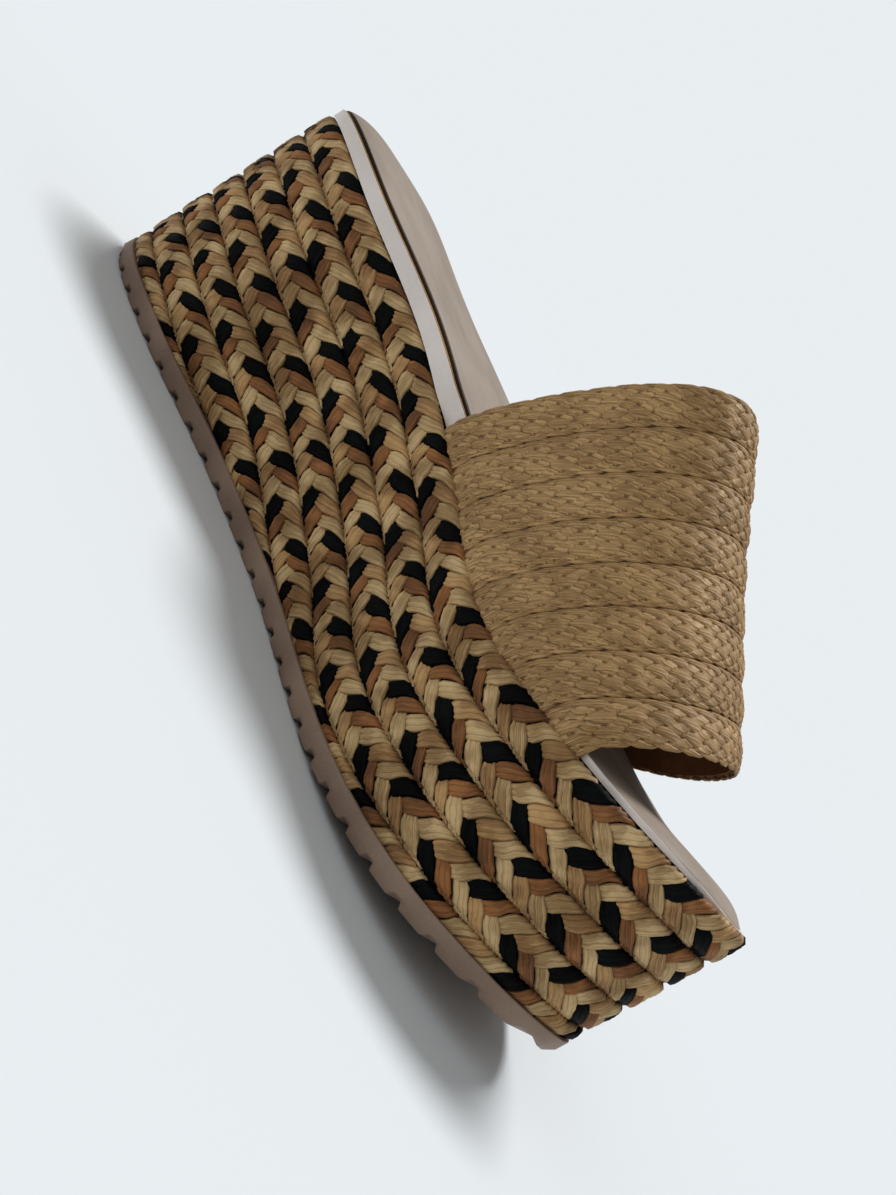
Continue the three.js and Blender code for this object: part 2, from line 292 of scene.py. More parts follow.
def makeFibreGroup():
    group, given, out = newGroup(
        "yarnFibres",
        [("Light", "NodeSocketColor", (0.6, 0.5, 0.3, 1)), ("Dark", "NodeSocketColor", (0.3, 0.2, 0.1, 1)),
         ("Stain", "NodeSocketColor", (0.4, 0.2, 0.1, 1)), ("Stain Amount", "NodeSocketFloat", 0.3),
         ("Along", "NodeSocketFloat", 3.0), ("Around", "NodeSocketFloat", 26.0),
         ("Plies", "NodeSocketFloat", 6.0), ("Twist", "NodeSocketFloat", 0.0),
         ("Groove", "NodeSocketFloat", 0.34), ("Patches", "NodeSocketFloat", 1.1)],
        [("Color", "NodeSocketColor"), ("Roughness", "NodeSocketFloat"), ("Height", "NodeSocketFloat")])
    coords = addNode(group, "ShaderNodeTexCoord")
    uv = addNode(group, "ShaderNodeSeparateXYZ")
    group.links.new(coords.outputs["UV"], uv.inputs[0])
    patches = noiseOn(group, coords.outputs["Object"], fibres["patchScale"], fibres["detail"])
    fleck = noiseOn(group, coords.outputs["Object"], fibres["fleckScale"], fibres["detail"])
    turns = math2(group, "ADD", math2(group, "MULTIPLY", uv.outputs[0], given.outputs["Twist"]),
                  math2(group, "MULTIPLY", uv.outputs[1], given.outputs["Plies"]))
    wobble = math2(group, "MULTIPLY", math2(group, "SUBTRACT", fleck, 0.5), fibres["wobble"])
    turns = math2(group, "ADD", turns, wobble)
    ply = math2(group, "ABSOLUTE", math2(group, "SINE", math2(group, "MULTIPLY", turns, math.pi)))
    fibre = addNode(group, "ShaderNodeCombineXYZ")
    group.links.new(math2(group, "MULTIPLY", uv.outputs[0], given.outputs["Along"]), fibre.inputs[0])
    perPly = math2(group, "DIVIDE", given.outputs["Around"], given.outputs["Plies"])
    group.links.new(math2(group, "MULTIPLY", turns, perPly), fibre.inputs[1])
    group.links.new(math2(group, "MULTIPLY", patches, fibres["patchOffset"]), fibre.inputs[2])
    strand = noiseOn(group, fibre.outputs[0], 1.0, fibres["strandDetail"], fibres["strandRoughness"])
    uneven = math2(group, "MULTIPLY", math2(group, "SUBTRACT", patches, 0.5), given.outputs["Patches"])
    tone = math2(group, "ADD", math2(group, "MULTIPLY", strand, fibres["strandTone"]), uneven)
    lit = remap(group, tone, *fibres["toneRange"])
    colour = mixColours(group, lit, given.outputs["Dark"], given.outputs["Light"])
    stain = remap(group, fleck, *fibres["stainRange"])
    stained = math2(group, "MULTIPLY", stain, given.outputs["Stain Amount"])
    colour = mixColours(group, stained, colour, given.outputs["Stain"])
    # painted shade: the colour is darkened in the valleys between plies, as deep as Groove sets it
    valley = remap(group, ply, 0.0, fibres["grooveWidth"], 1.0, 0.0)
    plyValleyShade = math2(group, "MULTIPLY", valley, given.outputs["Groove"])
    shade = mixColours(group, fibres["grooveShade"], given.outputs["Dark"], (0.0, 0.0, 0.0, 1.0))
    colour = mixColours(group, plyValleyShade, colour, mixColours(group, 1.0, colour, shade, "MULTIPLY"))
    group.links.new(colour, out.inputs["Color"])
    group.links.new(remap(group, strand, *noiseRange, *fibres["roughness"]), out.inputs["Roughness"])
    height = math2(group, "ADD", math2(group, "MULTIPLY", strand, fibres["strandHeight"]),
                   math2(group, "MULTIPLY", fleck, fibres["fleckHeight"]))
    ridge = remap(group, ply, 0.0, fibres["plyWidth"])
    height = math2(group, "ADD", height, math2(group, "MULTIPLY", ridge, given.outputs["Groove"]))
    group.links.new(height, out.inputs["Height"])
    return group


# fine grain for wrapped and moulded surfaces
grains = {
    "broadScale": 28.0, "streakScale": (22.0, 380.0, 380.0), "poreTone": 0.25, "roughness": (0.62, 0.5),
    "streakHeight": 0.5,
}


def makeGrainGroup():
    group, given, out = newGroup(
        "surfaceGrain",
        [("Light", "NodeSocketColor", (0.6, 0.5, 0.4, 1)), ("Dark", "NodeSocketColor", (0.5, 0.4, 0.3, 1)),
         ("Grain", "NodeSocketFloat", 900.0), ("Streak", "NodeSocketFloat", 0.0)],
        [("Color", "NodeSocketColor"), ("Roughness", "NodeSocketFloat"), ("Height", "NodeSocketFloat")])
    coords = addNode(group, "ShaderNodeTexCoord")
    broad = noiseOn(group, coords.outputs["Object"], grains["broadScale"])
    stretch = addNode(group, "ShaderNodeMapping")
    stretch.inputs["Scale"].default_value = grains["streakScale"]
    group.links.new(coords.outputs["Object"], stretch.inputs[0])
    streaks = noiseOn(group, stretch.outputs[0], 1.0)
    cells = addNode(group, "ShaderNodeTexVoronoi")
    group.links.new(given.outputs["Grain"], cells.inputs["Scale"])
    group.links.new(coords.outputs["Object"], cells.inputs["Vector"])
    streaked = math2(group, "MULTIPLY", math2(group, "SUBTRACT", streaks, 0.5), given.outputs["Streak"])
    tone = math2(group, "ADD", remap(group, broad, *noiseRange), streaked)
    pore = math2(group, "MULTIPLY", cells.outputs["Distance"], grains["poreTone"])
    tone = math2(group, "SUBTRACT", tone, pore)
    colour = mixColours(group, tone, given.outputs["Dark"], given.outputs["Light"])
    group.links.new(colour, out.inputs["Color"])
    group.links.new(remap(group, broad, *noiseRange, *grains["roughness"]), out.inputs["Roughness"])
    height = math2(group, "ADD", cells.outputs["Distance"],
                   math2(group, "MULTIPLY", streaked, grains["streakHeight"]))
    group.links.new(height, out.inputs["Height"])
    return group


fibreGroup = makeFibreGroup()
grainGroup = makeGrainGroup()


yarnRelief = 0.0003  # metres
grainRelief = 0.0002


def newMaterial(name, group, values, bump, depth, sheen, specular):
    material = bpy.data.materials.new(name)
    material.use_nodes = True
    tree = material.node_tree
    shader = tree.nodes["Principled BSDF"]
    shader.inputs["Specular IOR Level"].default_value = specular
    shader.inputs["Sheen Weight"].default_value = sheen
    shader.inputs["Sheen Roughness"].default_value = 0.5
    look = addNode(tree, "ShaderNodeGroup", node_tree=group)
    for key, value in values.items():
        look.inputs[key].default_value = value
    relief = addNode(tree, "ShaderNodeBump")
    relief.inputs["Strength"].default_value = bump
    relief.inputs["Distance"].default_value = depth
    tree.links.new(look.outputs["Color"], shader.inputs["Base Color"])
    tree.links.new(look.outputs["Roughness"], shader.inputs["Roughness"])
    tree.links.new(look.outputs["Height"], relief.inputs["Height"])
    tree.links.new(relief.outputs["Normal"], shader.inputs["Normal"])
    return material


def yarnMaterial(name, light, dark, stain, stainAmount=0.3, bump=0.6, sheen=0.04, specular=0.22, **weave):
    values = {"Light": srgb(*light), "Dark": srgb(*dark), "Stain": srgb(*stain), "Stain Amount": stainAmount}
    return newMaterial(name, fibreGroup, values | weave, bump, yarnRelief, sheen, specular)


def grainMaterial(name, light, dark, grain, streak=0.0, bump=0.25, specular=0.3):
    values = {"Light": srgb(*light), "Dark": srgb(*dark), "Grain": grain, "Streak": streak}
    return newMaterial(name, grainGroup, values, bump, grainRelief, 0.0, specular)


# Groove sets both the bump of the ply valleys and the painted shade in them
yarns = {
    "black": yarnMaterial("blackStraw", (12, 13, 13), (2, 2, 2), (10, 16, 13), 0.3, sheen=0.0, specular=0.06),
    "brown": yarnMaterial("brownStraw", (164, 108, 60), (98, 62, 32), (128, 82, 44), 0.4),
    "light": yarnMaterial("naturalStraw", (217, 186, 135), (144, 112, 70), (160, 114, 66)),
    "tan": yarnMaterial("warmStraw", (202, 160, 106), (128, 92, 54), (150, 102, 58)),
    "band": yarnMaterial("bandStraw", (212, 172, 117), (114, 82, 46), (140, 100, 56), Along=4.0, Around=14.0,
                         Plies=4.0, Twist=20.0, Groove=0.45, Patches=0.25),
}
rubber = grainMaterial("mauveRubber", (160, 136, 118), (130, 108, 93), 1500.0, bump=0.3, specular=0.2)
rimWrap = grainMaterial("rimWrap", (236, 226, 220), (218, 207, 199), 1100.0)
sockLeather = grainMaterial("sockLeather", (170, 154, 139), (149, 133, 118), 1000.0, streak=0.8)
liningCloth = grainMaterial("liningCloth", (150, 108, 76), (110, 76, 52), 1400.0, bump=0.5, specular=0.0)
# near-black brown core: painted shade that shows in the gaps between the braid rows
coreGapShade = grainMaterial("coreGapShade", (52, 35, 20), (30, 19, 10), 700.0, specular=0.05)
# dark seam cord: partly the seam's own dark colour, partly painted shade of the gap between rim and sock
seamDarkGapShade = grainMaterial("seamDarkGapShade", (62, 42, 20), (34, 22, 10), 1600.0, bump=0.5, specular=0.1)
seamGold = grainMaterial("seamGold", (190, 150, 88), (140, 104, 54), 1600.0, bump=0.5, specular=0.2)
print("materials made")

# flat braids: ribbons that go from edge to edge of the row, over and under each other, and fold at the edges
platformBraid = {
    "repeat": 25.0,
    "ribbons": ["black", "brown", "light", "tan", "light"],
    "widths": [1.16, 0.88, 1.0, 1.02, 1.02],
    "steps": 24,
    "profile": [(1, 0), (0.68, 1), (0.34, 0.5), (0, 1), (-0.34, 0.5), (-0.68, 1),
                (-1, 0), (-0.68, -1), (-0.34, -0.5), (0, -1), (0.34, -0.5), (0.68, -1)],
    "thickness": 0.55,
    "lift": 0.55,
    "reach": 0.93,
    "halfRow": 4.65,
    "hidden": 0.62,  # share of the way that a ribbon lies under the others
    "edgeTurn": 0.95,
    "crossing": 2.4,
    "fold": 0.06,
}
bandBraid = {
    "repeat": 38.0,
    "ribbons": ["band"] * 7,
    "widths": [1.04] * 7,
    "steps": 70,
    "profile": [(1, 0), (0.5, 0.9), (-0.5, 0.9), (-1, 0), (-0.5, -0.9), (0.5, -0.9)],
    "thickness": 0.42,
    "lift": 0.22,
    "reach": 0.925,
    "halfRow": 4.5,
    "edgeTurn": 0.97,
    "slideEase": 0.14,
    "fold": 0.06,
}


def foldTurn(turn, ease):  # half a turn of the ribbon at each edge of the row
    at = turn % 1
    return np.pi * (smooth(at, 0.5 - ease, 0.5 + ease) + smooth(at, 1 - ease, 1 + ease) - 1
                    + smooth(at, -ease, ease))


def edgeToEdge(wave, braid):
    return -np.arcsin(braid["edgeTurn"] * np.cos(wave)) / math.asin(braid["edgeTurn"]) * braid["reach"]


# two layers: under the others from the edge to the middle, over them from the middle to the next edge
def twoLayerPath(turn, shift, braid):
    half = (2 * turn) % 1
    eased = np.where(half < braid["hidden"], half / braid["hidden"] / 2,
                     0.5 + (half - braid["hidden"]) / (1 - braid["hidden"]) / 2)
    wave = np.pi * (np.floor(2 * turn) + eased)
    sharp = braid["crossing"]
    over = -np.tanh(sharp * np.sin(2 * wave + 4 * np.pi * shift * np.sin(wave) ** 2)) / math.tanh(sharp)
    return edgeToEdge(wave, braid), over * braid["lift"], foldTurn(turn, braid["fold"])


# plain weave: over one, under one all the way across
def plainPath(turn, shift, braid):
    half = (2 * turn) % 1
    slide = 2 * shift * smooth(np.minimum(half, 1 - half), 0, braid["slideEase"])
    crossing = len(braid["ribbons"]) * (half + slide)
    atEdges = smooth(half, 0, braid["fold"]) * (1 - smooth(half, 1 - braid["fold"], 1))
    over = -np.cos(np.pi * crossing) * atEdges
    return edgeToEdge(2 * np.pi * turn, braid), over * braid["lift"], foldTurn(turn, braid["fold"])


def makeRibbon(name, braid, number, path):
    sides = len(braid["profile"])
    piece, along, around = addGrid(name, braid["steps"], sides)
    profile = np.array(braid["profile"] + braid["profile"][:1], float)
    share = braid["repeat"] / len(braid["ribbons"]) / 2 * braid["widths"][number]
    shift = np.interp(around * sides, np.arange(sides + 1), profile[:, 0]) * share
    thick = np.interp(around * sides, np.arange(sides + 1), profile[:, 1]) * braid["thickness"]
    across, over, facing = path(along, shift / (2 * braid["repeat"]), braid)
    s = (along + number / len(braid["ribbons"])) * braid["repeat"] + shift
    v = across * braid["halfRow"] + thick * np.sin(facing)
    h = over + thick * np.cos(facing)
    setPlaces(piece, np.c_[s, v, h] * mm)
    piece.data.materials.append(yarns[braid["ribbons"][number]])
    mergeDoubles(piece)
    return piece


def makeBraidUnit(name, braid, path):
    ribbons = [makeRibbon(f"{name}_{i}", braid, i, path) for i in range(len(braid["ribbons"]))]
    deselectAll()
    for ribbon in ribbons:
        ribbon.select_set(True)
    bpy.context.view_layer.objects.active = ribbons[0]
    bpy.ops.object.join()
    unit = bpy.context.object
    unit.name = unit.data.name = name
    pick(unit)
    bpy.ops.object.shade_smooth()
    return unit


def straightRow(unit, name, braid, count):
    row = unit.copy()
    row.data = unit.data.copy()
    row.name = row.data.name = name
    bpy.context.scene.collection.objects.link(row)
    applyModifier(row, "ARRAY", count=count, use_relative_offset=False, use_constant_offset=True,
                  constant_offset_displace=(braid["repeat"] * mm, 0, 0), use_merge_vertices=True,
                  merge_threshold=1e-6)
    return row


# platform: braid rows round a core
platform = {
    "pitch": 9.3,
    "crown": 0.5,
    "depth": 1.6,
    "rows": [  # where a black ribbon lies along the inner side, repeats round the shoe
        (61.4, 23), (62.5, 22), (75.3, 24), (73.6, 24), (69.2, 24), (66.8, 24), (68.0, 24),
    ],
    "wholeRows": 3,  # the rows below these are cut by the outsole
    "skew": (1.3, -1.5),  # slant of the ribbons behind and at the toe
    "toeStart": (140, 205), "toeEnd": (330, 420),  # along the outline
    # unevenness: size, turns round the shoe, slant across the row, shift from row to row
    "wander": [(0.7, 7, 0, 2.7), (0.42, 19, 0, 1.1), (0.3, 53, 2.5, 1.0), (0.22, 97, -3, 2.2)],
    "sway": [(0.16, 13, 0, 1.9), (0.12, 31, 0, 0.7)],
    "swell": [(0.09, 17, 0, 2.3), (0.1, 67, 3, 1.0)],
    "cutBelow": 1.2,
    "tuck": 1.3, "tuckFrom": -0.6, "tuckTo": 1.4,  # drawn in where a row meets the outsole
    "coreInset": 2.7, "coreDrop": 0.6, "coreLift": 0.1, "coreSteps": 4, "coreAngle": 40,
}


def waves(table, place, across, number):
    return sum(size * np.sin(pace * place + slant * across + shift * number)
               for size, pace, slant, shift in table)


def wrapOnPlatform(row, number, blackPlace, count):
    s, v, h = places(row).T / mm
    vn = v / platformBraid["halfRow"]
    blackArm = (1 + platformBraid["hidden"]) / 4
    s = s * girth / (count * platformBraid["repeat"]) + blackPlace - blackArm * girth / count
    ring = 2 * np.pi * s / girth
    toeward = smooth(s % girth, *platform["toeStart"]) * (1 - smooth(s % girth, *platform["toeEnd"]))
    skewBehind, skewToe = platform["skew"]
    s = s + vn * (skewBehind * (1 - toeward) + skewToe * toeward)
    s = s + waves(platform["wander"], ring, vn, number)
    sway = waves(platform["sway"], ring, vn, number)
    swell = waves(platform["swell"], ring, vn, number)
    spot, out = onOutline(s)
    z = edgeLine(spot[:, 0]) - (number + 0.5 - vn / 2) * platform["pitch"] + sway * (1 - vn ** 2)
    inset = platform["depth"] - h - swell - platform["crown"] * (1 - np.minimum(1, vn ** 2))
    inset += platform["tuck"] * (1 - smooth(z - shoe["outsole"], platform["tuckFrom"], platform["tuckTo"]))
    return np.c_[spot - out * inset[:, None], z]


def cutUnderOutsole(row):
    pick(row)
    bpy.ops.object.mode_set(mode="EDIT")
    bpy.ops.mesh.select_all(action="SELECT")
    bpy.ops.mesh.bisect(plane_co=(0, 0, (shoe["outsole"] - platform["cutBelow"]) * mm), plane_no=(0, 0, 1),
                        use_fill=True, clear_inner=True, clear_outer=False)
    bpy.ops.object.mode_set(mode="OBJECT")


braidUnit = makeBraidUnit("braid_unit", platformBraid, twoLayerPath)
for number, (blackPlace, repeats) in enumerate(platform["rows"]):
    row = straightRow(braidUnit, f"platform_row_{number + 1}", platformBraid, repeats)
    setPlaces(row, wrapOnPlatform(row, number, blackPlace, repeats) * mm)
    mergeDoubles(row)
    if number >= platform["wholeRows"]:
        cutUnderOutsole(row)
    co = places(row) / mm
    co[:, 2] += groundLine(co[:, 0])
    setPlaces(row, toShoe(co))
    settle(row, "platform_braid", "platform")
bpy.data.objects.remove(braidUnit)
print("platform rows made, girth", round(girth, 1), "mm")


# slab inside the outline: top grid between two edges, pushed down and bevelled
slabs = {
    "alongSteps": 180, "acrossSteps": 30, "merge": 1e-5, "narrowest": 0.1,
    "roundSteps": 4, "roundAngle": 50,
}


def slabTop(name, edgeInset, heightAt, crownStart, acrossSteps):
    piece, along, across = addGrid(name, slabs["alongSteps"], acrossSteps)
    x = shoe["length"] * (1 - np.cos(np.pi * along)) / 2
    sides = []
    for half, placeAt, sign in ((innerHalf, innerAt, -1), (outerHalf, outerAt, 1)):
        out = onOutline(placeAt(x))[1]
        sides.append(np.c_[x, sign * half(x)] - out * edgeInset(x, sign)[:, None])
    xy = sides[0] * (1 - across[:, None]) + sides[1] * across[:, None]
    height = heightAt(xy[:, 0])
    if crownStart is not None:
        width = np.linalg.norm(sides[1] - sides[0], axis=1)
        low, high = xy[:, 0].min() + crownStart, xy[:, 0].max() - crownStart
        crowned = np.maximum(width - 2 * crownStart, slabs["narrowest"])
        inside = np.clip((across * width - crownStart) / crowned, 0, 1)
        height = height + crownRise(inside, np.clip((xy[:, 0] - low) / (high - low), 0, 1), xy[:, 0])
    setPlaces(piece, toShoe(np.c_[xy, height]))
    mergeDoubles(piece, slabs["merge"])
    return piece


def pushDown(piece, bottomAt):
    pick(piece)
    bpy.ops.object.mode_set(mode="EDIT")
    bpy.ops.mesh.select_all(action="SELECT")
    bpy.ops.mesh.extrude_region_move(TRANSFORM_OT_translate={"value": (0, 0, -mm)})
    bpy.ops.object.mode_set(mode="OBJECT")
    co = places(piece) / mm + middle
    low = np.array([vertex.select for vertex in piece.data.vertices])
    co[low, 2] = bottomAt(co[low, 0], co[low, 2] + 1)
    setPlaces(piece, toShoe(co))
    faceOutward(piece)


core = slabTop("platform_core", lambda x, side: np.full_like(x, platform["coreInset"]),
               lambda x: platformTop(x) - platform["coreDrop"], None, platform["coreSteps"])
pushDown(core, lambda x, top: groundLine(x) + shoe["outsole"] + platform["coreLift"])
core.data.materials.append(coreGapShade)
smoothByAngle(core, platform["coreAngle"])
settle(core, "platform_braid", "platform")
print("platform core made")

# band over the foot: eight braid rows on a lining
band = {
    "rearInner": 117.5, "rearOuter": 106.0, "rearBow": 33.5, "rearBowFullness": 1.35,
    "frontInner": 209.5, "frontOuter": 175.0, "frontBow": 20.3, "frontBowFullness": 1.27,
    "rearRise": 66.0, "frontRise": 22.2, "riseFall": 1.2,
    "squareness": 1.98, "rearLean": -18.7, "frontLean": -0.6, "footInset": 1.1,
    "rows": 8, "crown": 0.55, "depth": 0.45, "footDrop": 1.4,
    "footTuck": 1.1, "tuckFrom": -1.0, "tuckTo": 3.5,  # drawn in where a row meets the platform
    # unevenness: size, pace along the row, slant across it, shift from row to row
    "wander": [(0.5, 1 / 11.0, 0, 1.7), (0.3, 1 / 4.7, 0, 0.9)],
    "sway": [(0.05, 1 / 9.0, 0, 2.1), (0.05, 1 / 4.3, 0, 1.0)],
    "swell": [(0.07, 1 / 6.0, 0, 1.3), (0.08, 1 / 2.3, 4, 2.9)],
    "liningDepth": 0.8, "liningThickness": 1.0, "liningMargin": 0.014, "liningSteps": (32, 120),
    "liningAngle": 40,
}


def bandSurface(along, over):
    arch = np.maximum(0, np.sin(np.pi * over))
    power = 2 / band["squareness"]
    rearBow = band["rearBow"] * arch ** band["rearBowFullness"]
    frontBow = band["frontBow"] * arch ** band["frontBowFullness"]
    rear = band["rearInner"] * (1 - over) + band["rearOuter"] * over + rearBow
    front = band["frontInner"] * (1 - over) + band["frontOuter"] * over + frontBow
    x = rear * (1 - along) + front * along
    inner = -innerHalf(x) + band["footInset"]
    outer = outerHalf(x) - band["footInset"]
    side = -np.cos(np.pi * over)
    lean = band["rearLean"] * (1 - along) + band["frontLean"] * along
    y = (inner + outer) / 2 + (outer - inner) / 2 * np.sign(side) * np.abs(side) ** power + lean * arch ** 2
    fall = np.clip(along, 0, 1) ** band["riseFall"]
    rise = band["rearRise"] * (1 - fall) + band["frontRise"] * fall
    return np.c_[x, y, platformTop(x) + shoe["gap"] + rise * arch ** power]


def bandOut(along, over):
    step = 2e-3
    near = np.clip(over, 2 * step, 1 - 2 * step)
    forward = bandSurface(along + step, near) - bandSurface(along - step, near)
    sideways = bandSurface(along, near + step) - bandSurface(along, near - step)
    out = np.cross(forward, sideways)
    return out / np.linalg.norm(out, axis=1)[:, None]


def bandRowLength(along):
    over = np.linspace(0, 1, 600)
    spots = bandSurface(np.full_like(over, along), over)
    return over, np.r_[0, np.cumsum(np.linalg.norm(np.diff(spots, axis=0), axis=1))]


def wrapOnBand(row, number, count):
    s, v, h = places(row).T / mm
    vn = v / bandBraid["halfRow"]
    over, lengths = bandRowLength((number + 0.5) / band["rows"])
    total = lengths[-1] + 2 * band["footDrop"]
    s = (s / bandBraid["repeat"] - 1) * total / count - band["footDrop"]
    s = s + waves(band["wander"], s, vn, number)
    sway = waves(band["sway"], s, vn, number)
    along = (number + 0.5 + (vn + sway * (1 - vn ** 2)) / 2) / band["rows"]
    drop = np.maximum(0, np.maximum(-s, s - lengths[-1]))
    place = np.interp(s, lengths, over)
    co = bandSurface(along, place)
    swell = waves(band["swell"], s, vn, number)
    lift = h - band["depth"] + swell + band["crown"] * (1 - np.minimum(1, vn ** 2))
    fromFoot = np.minimum(s, lengths[-1] - s)
    lift -= band["footTuck"] * (1 - smooth(fromFoot, band["tuckFrom"], band["tuckTo"]))
    co += bandOut(along, place) * lift[:, None]
    co[:, 2] -= drop
    return co


def trimEnds(row, count):
    pick(row)
    for at, keepAbove in ((1, True), (count + 1, False)):
        bpy.ops.object.mode_set(mode="EDIT")
        bpy.ops.mesh.select_all(action="SELECT")
        bpy.ops.mesh.bisect(plane_co=(at * bandBraid["repeat"] * mm, 0, 0), plane_no=(1, 0, 0), use_fill=True,
                            clear_inner=keepAbove, clear_outer=not keepAbove)
        bpy.ops.object.mode_set(mode="OBJECT")


yarnUnit = makeBraidUnit("yarn_unit", bandBraid, plainPath)
for number in range(band["rows"]):
    total = bandRowLength((number + 0.5) / band["rows"])[1][-1]
    count = round(total / bandBraid["repeat"])
    row = straightRow(yarnUnit, f"band_row_{number + 1}", bandBraid, count + 2)
    trimEnds(row, count)
    setPlaces(row, toShoe(wrapOnBand(row, number, count)))
    settle(row, "band_braid", "band")
bpy.data.objects.remove(yarnUnit)

lining, along, over = addGrid("band_lining", *band["liningSteps"])
along = band["liningMargin"] + (1 - 2 * band["liningMargin"]) * along
inside = bandSurface(along, over) - bandOut(along, over) * band["liningDepth"]
setPlaces(lining, toShoe(inside))
applyModifier(lining, "SOLIDIFY", thickness=band["liningThickness"] * mm, offset=-1.0)
lining.data.materials.append(liningCloth)
smoothByAngle(lining, band["liningAngle"])
settle(lining, "band_braid", "band")
print("band made")

# footbed, sock and the seam line between them
footbed = {
    "depth": [  # distance from the heel, thickness
        (0, 2.5), (24, 3.3), (58, 3.9), (93, 4.3), (129, 4.9), (164, 4.4), (205, 1.6), (245, 1.1),
    ],
    "inset": 0.7, "relief": 2.6, "margin": 1.0, "blend": 9.0, "advance": 7.0,
    "toeStart": 210.0, "toeInset": 1.9, "heelEnd": 20.0, "heelInset": 0.8, "round": 0.95,
    "toeDrop": 1.4, "dropStart": 229.0, "sideFullness": 2, "endFullness": 10,
    "crown": [  # distance from the heel, rise of the middle over the edges
        (0, 1.8), (22, 3.2), (45, 1.5), (75, 0.4), (110, 0.2), (164, 0.3), (190, 0.8), (205, 1.4), (220, 2.2),
        (232, 2.3), (245, 1.4),
    ],
}
sock = {
    "thickness": 1.2, "inset": 1.5, "round": 0.4, "lift": 0.05,
    "toeStart": 150.0, "toeEnd": 205.0, "toeSink": 1.12, "toeInset": 0.8,
}
seamRun = {"alongSteps": 360, "sides": 8, "underBand": 8.0, "taper": 12, "merge": 1e-6}
seams = [  # name, half width, half height, place outward of the sock's edge, lift, material
    # the dark cord is partly a seam and partly painted shade over the sock's side in the gap
    ("seam_line", 0.36, 0.6, 0.3, 0.5, seamDarkGapShade),
    ("seam_piping", 0.26, 0.26, 0.95, 0.05, seamGold),
]
footbedX, footbedDepth = (np.array(column, float) for column in zip(*footbed["depth"]))
crownX, crownHeight = (np.array(column, float) for column in zip(*footbed["crown"]))


def footbedThickness(x):
    return readTable(footbedX, footbedDepth, x)


def besideBand(x, side):
    rear = np.where(side < 0, band["rearInner"], band["rearOuter"]) - footbed["margin"]
    ahead = footbed["advance"] + footbed["margin"]
    front = np.where(side < 0, band["frontInner"], band["frontOuter"]) + ahead
    return smooth((x - rear) / footbed["blend"], -1, 0) * (1 - smooth((x - front) / footbed["blend"], 0, 1))


def footbedEdge(x, side):
    ends = footbed["toeInset"] * smooth(x, footbed["toeStart"], shoe["length"])
    ends = ends + footbed["heelInset"] * (1 - smooth(x, 0, footbed["heelEnd"]))
    return footbed["inset"] + footbed["relief"] * besideBand(x, side) + ends


def footbedTop(x):
    drop = footbed["toeDrop"] * smooth(x, footbed["dropStart"], shoe["length"]) ** 2
    return platformTop(x) + shoe["gap"] + footbedThickness(x) - drop


def towardToe(x):
    return smooth(x, sock["toeStart"], sock["toeEnd"])


def sockEdge(x, side):
    return footbedEdge(x, side) + sock["inset"] + (sock["toeInset"] - sock["inset"]) * towardToe(x)


def sockTop(x):
    return footbedTop(x) + sock["lift"] + sock["thickness"] - sock["toeSink"] * towardToe(x)


def crownRise(across, along, x):
    sides = 1 - (1 - 4 * across * (1 - across)) ** footbed["sideFullness"]
    ends = 1 - (1 - 4 * along * (1 - along)) ** footbed["endFullness"]
    return readTable(crownX, crownHeight, x) * sides * ends


def slab(name, edge, topAt, crownStart, bottomAt, rounding, material, slotName, node):
    piece = slabTop(name, edge, topAt, crownStart, slabs["acrossSteps"])
    pushDown(piece, bottomAt)
    applyModifier(piece, "BEVEL", width=rounding * mm, segments=slabs["roundSteps"], limit_method="ANGLE",
                  angle_limit=math.radians(slabs["roundAngle"]))
    piece.data.materials.append(material)
    smoothByAngle(piece, slabs["roundAngle"])
    settle(piece, slotName, node)


slab("footbed_rim", footbedEdge, footbedTop, sock["inset"],
     lambda x, top: footbedTop(x) - footbedThickness(x),
     footbed["round"], rimWrap, "footbed_wrap", "footbed")
slab("sock_lining", sockEdge, sockTop, 0.0, lambda x, top: top - sock["thickness"],
     sock["round"], sockLeather, "sock_lining", "sock")

for name, wide, tall, outward, lift, material in seams:
    seam, along, around = addGrid(name, seamRun["alongSteps"], seamRun["sides"])
    innerEnd = innerAt(band["rearInner"] + seamRun["underBand"])
    outerEnd = outerAt(band["rearOuter"] + seamRun["underBand"])
    at = innerEnd + (outerEnd - girth - innerEnd) * along
    spot, out = onOutline(at)
    side = np.where(at > 0, -1, 1)
    angle = 2 * np.pi * around
    taper = np.minimum(1, seamRun["taper"] * np.minimum(along, 1 - along)) ** 0.5
    inset = sockEdge(spot[:, 0], side) - outward + wide * taper * np.cos(angle)
    height = footbedTop(spot[:, 0]) + lift + tall * taper * np.sin(angle)
    setPlaces(seam, toShoe(np.c_[spot - out * inset[:, None], height]))
    mergeDoubles(seam, seamRun["merge"])
    faceOutward(seam)
    seam.data.materials.append(material)
    pick(seam)
    bpy.ops.object.shade_smooth()
    settle(seam, "sock_lining")
print("footbed made")

# outsole: the ribbed solid with its edges eased
outsole = {"ease": 1.2, "easeSteps": 3, "easeAngle": 35, "merge": 1e-5}
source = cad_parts["outsole"]
solePiece = source.copy()
solePiece.data = source.data.copy()
solePiece.name = solePiece.data.name = "outsole_rubber"
for key in list(solePiece.keys()):
    del solePiece[key]
bpy.context.scene.collection.objects.link(solePiece)
solePiece.parent = None
mergeDoubles(solePiece, outsole["merge"])
applyModifier(solePiece, "BEVEL", width=outsole["ease"] * mm, segments=outsole["easeSteps"],
              limit_method="ANGLE", angle_limit=math.radians(outsole["easeAngle"]))
solePiece.data.materials.clear()
solePiece.data.materials.append(rubber)
smoothByAngle(solePiece, outsole["easeAngle"])
settle(solePiece, "outsole_rubber", "outsole")
print("outsole made")

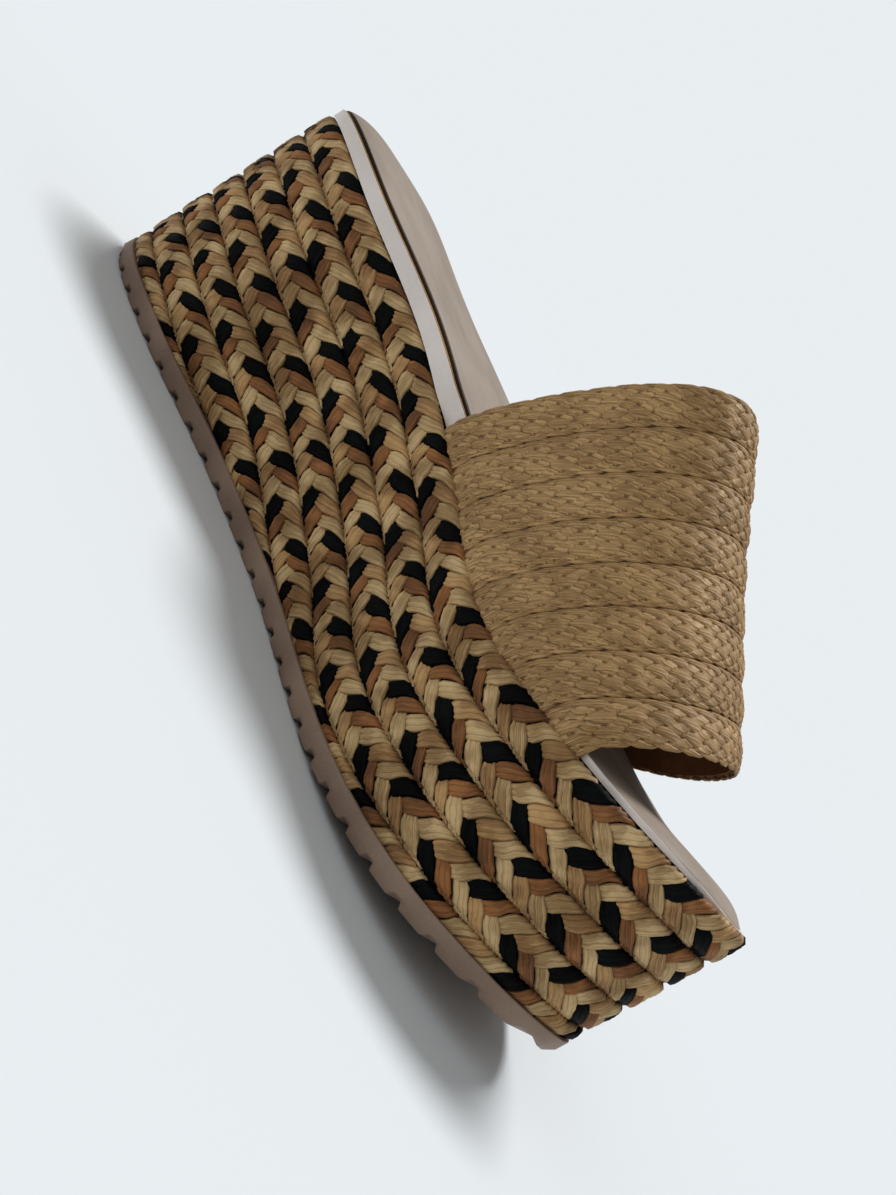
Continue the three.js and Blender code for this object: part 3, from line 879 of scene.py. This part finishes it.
# wide plain floor
ground = {"colour": (234, 239, 242), "radius": 12.0, "corners": 96}
deselectAll()
bpy.ops.mesh.primitive_circle_add(vertices=ground["corners"], radius=ground["radius"], fill_type="NGON")
floor = bpy.context.object
floor.name = "floor"
floorPaint = bpy.data.materials.new("paleFloor")
floorPaint.use_nodes = True
floorShader = floorPaint.node_tree.nodes["Principled BSDF"]
floorShader.inputs["Base Color"].default_value = srgb(*ground["colour"])
floorShader.inputs["Roughness"].default_value = 1.0
floorShader.inputs["Specular IOR Level"].default_value = 0.0
floor.data.materials.append(floorPaint)
floor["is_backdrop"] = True

# camera at the photo's place, aimed at the one shoe
view = {
    "place": (0.2098, -0.3311, 0.0843),
    "forward": (-0.626, 0.734, -0.264), "right": (0.258, 0.514, 0.818), "up": (-0.736, -0.444, 0.512),
    "aim": (0.2083, -0.0797),
    "lens": 50.0,
    "nearest": 0.01,
}
forward, right, up = (Vector(view[key]) for key in ("forward", "right", "up"))
look = (forward + right * view["aim"][0] + up * view["aim"][1]).normalized()
up = (up - look * up.dot(look)).normalized()
right = look.cross(up)
camera = bpy.data.objects.new("camera", bpy.data.cameras.new("camera"))
bpy.context.scene.collection.objects.link(camera)
camera.matrix_world = Matrix((
    (right.x, up.x, -look.x, view["place"][0]),
    (right.y, up.y, -look.y, view["place"][1]),
    (right.z, up.z, -look.z, view["place"][2]),
    (0, 0, 0, 1)))
camera.data.lens = view["lens"]
camera.data.clip_start = view["nearest"]
bpy.context.scene.camera = camera

# soft light from above and behind, fill from the camera's side, and a sky of the floor's colour
lights = [  # name, direction to the light, strength, angle across the sky
    ("above", (-0.22, 0.42, 0.9), 2.36, 18.0),
    ("fill", (-0.1, -0.75, 0.5), 0.42, 70.0),
]
sky = {"colour": (0.97, 0.99, 1.0, 1), "strength": 0.255, "seen": 0.988}
for name, toward, strength, angle in lights:
    data = bpy.data.lights.new(name, "SUN")
    data.energy, data.angle = strength, math.radians(angle)
    lamp = bpy.data.objects.new(name, data)
    lamp.rotation_euler = Vector(toward).to_track_quat("Z", "Y").to_euler()
    bpy.context.scene.collection.objects.link(lamp)

world = bpy.data.worlds.new("studio")
world.use_nodes = True
tree = world.node_tree
ambient = tree.nodes["Background"]
ambient.inputs["Color"].default_value = sky["colour"]
ambient.inputs["Strength"].default_value = sky["strength"]
seen = addNode(tree, "ShaderNodeBackground")
seen.inputs["Color"].default_value = srgb(*ground["colour"])
seen.inputs["Strength"].default_value = sky["seen"]
ray = addNode(tree, "ShaderNodeLightPath")
mix = addNode(tree, "ShaderNodeMixShader")
tree.links.new(ray.outputs["Is Camera Ray"], mix.inputs[0])
tree.links.new(ambient.outputs[0], mix.inputs[1])
tree.links.new(seen.outputs[0], mix.inputs[2])
tree.links.new(mix.outputs[0], tree.nodes["World Output"].inputs["Surface"])
bpy.context.scene.world = world
bpy.context.scene.view_settings.view_transform = "Standard"

triangles = {piece.name: sum(len(face.vertices) - 2 for face in piece.data.polygons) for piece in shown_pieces()}
print("triangles", triangles, sum(triangles.values()))
print("stage, camera and light set")
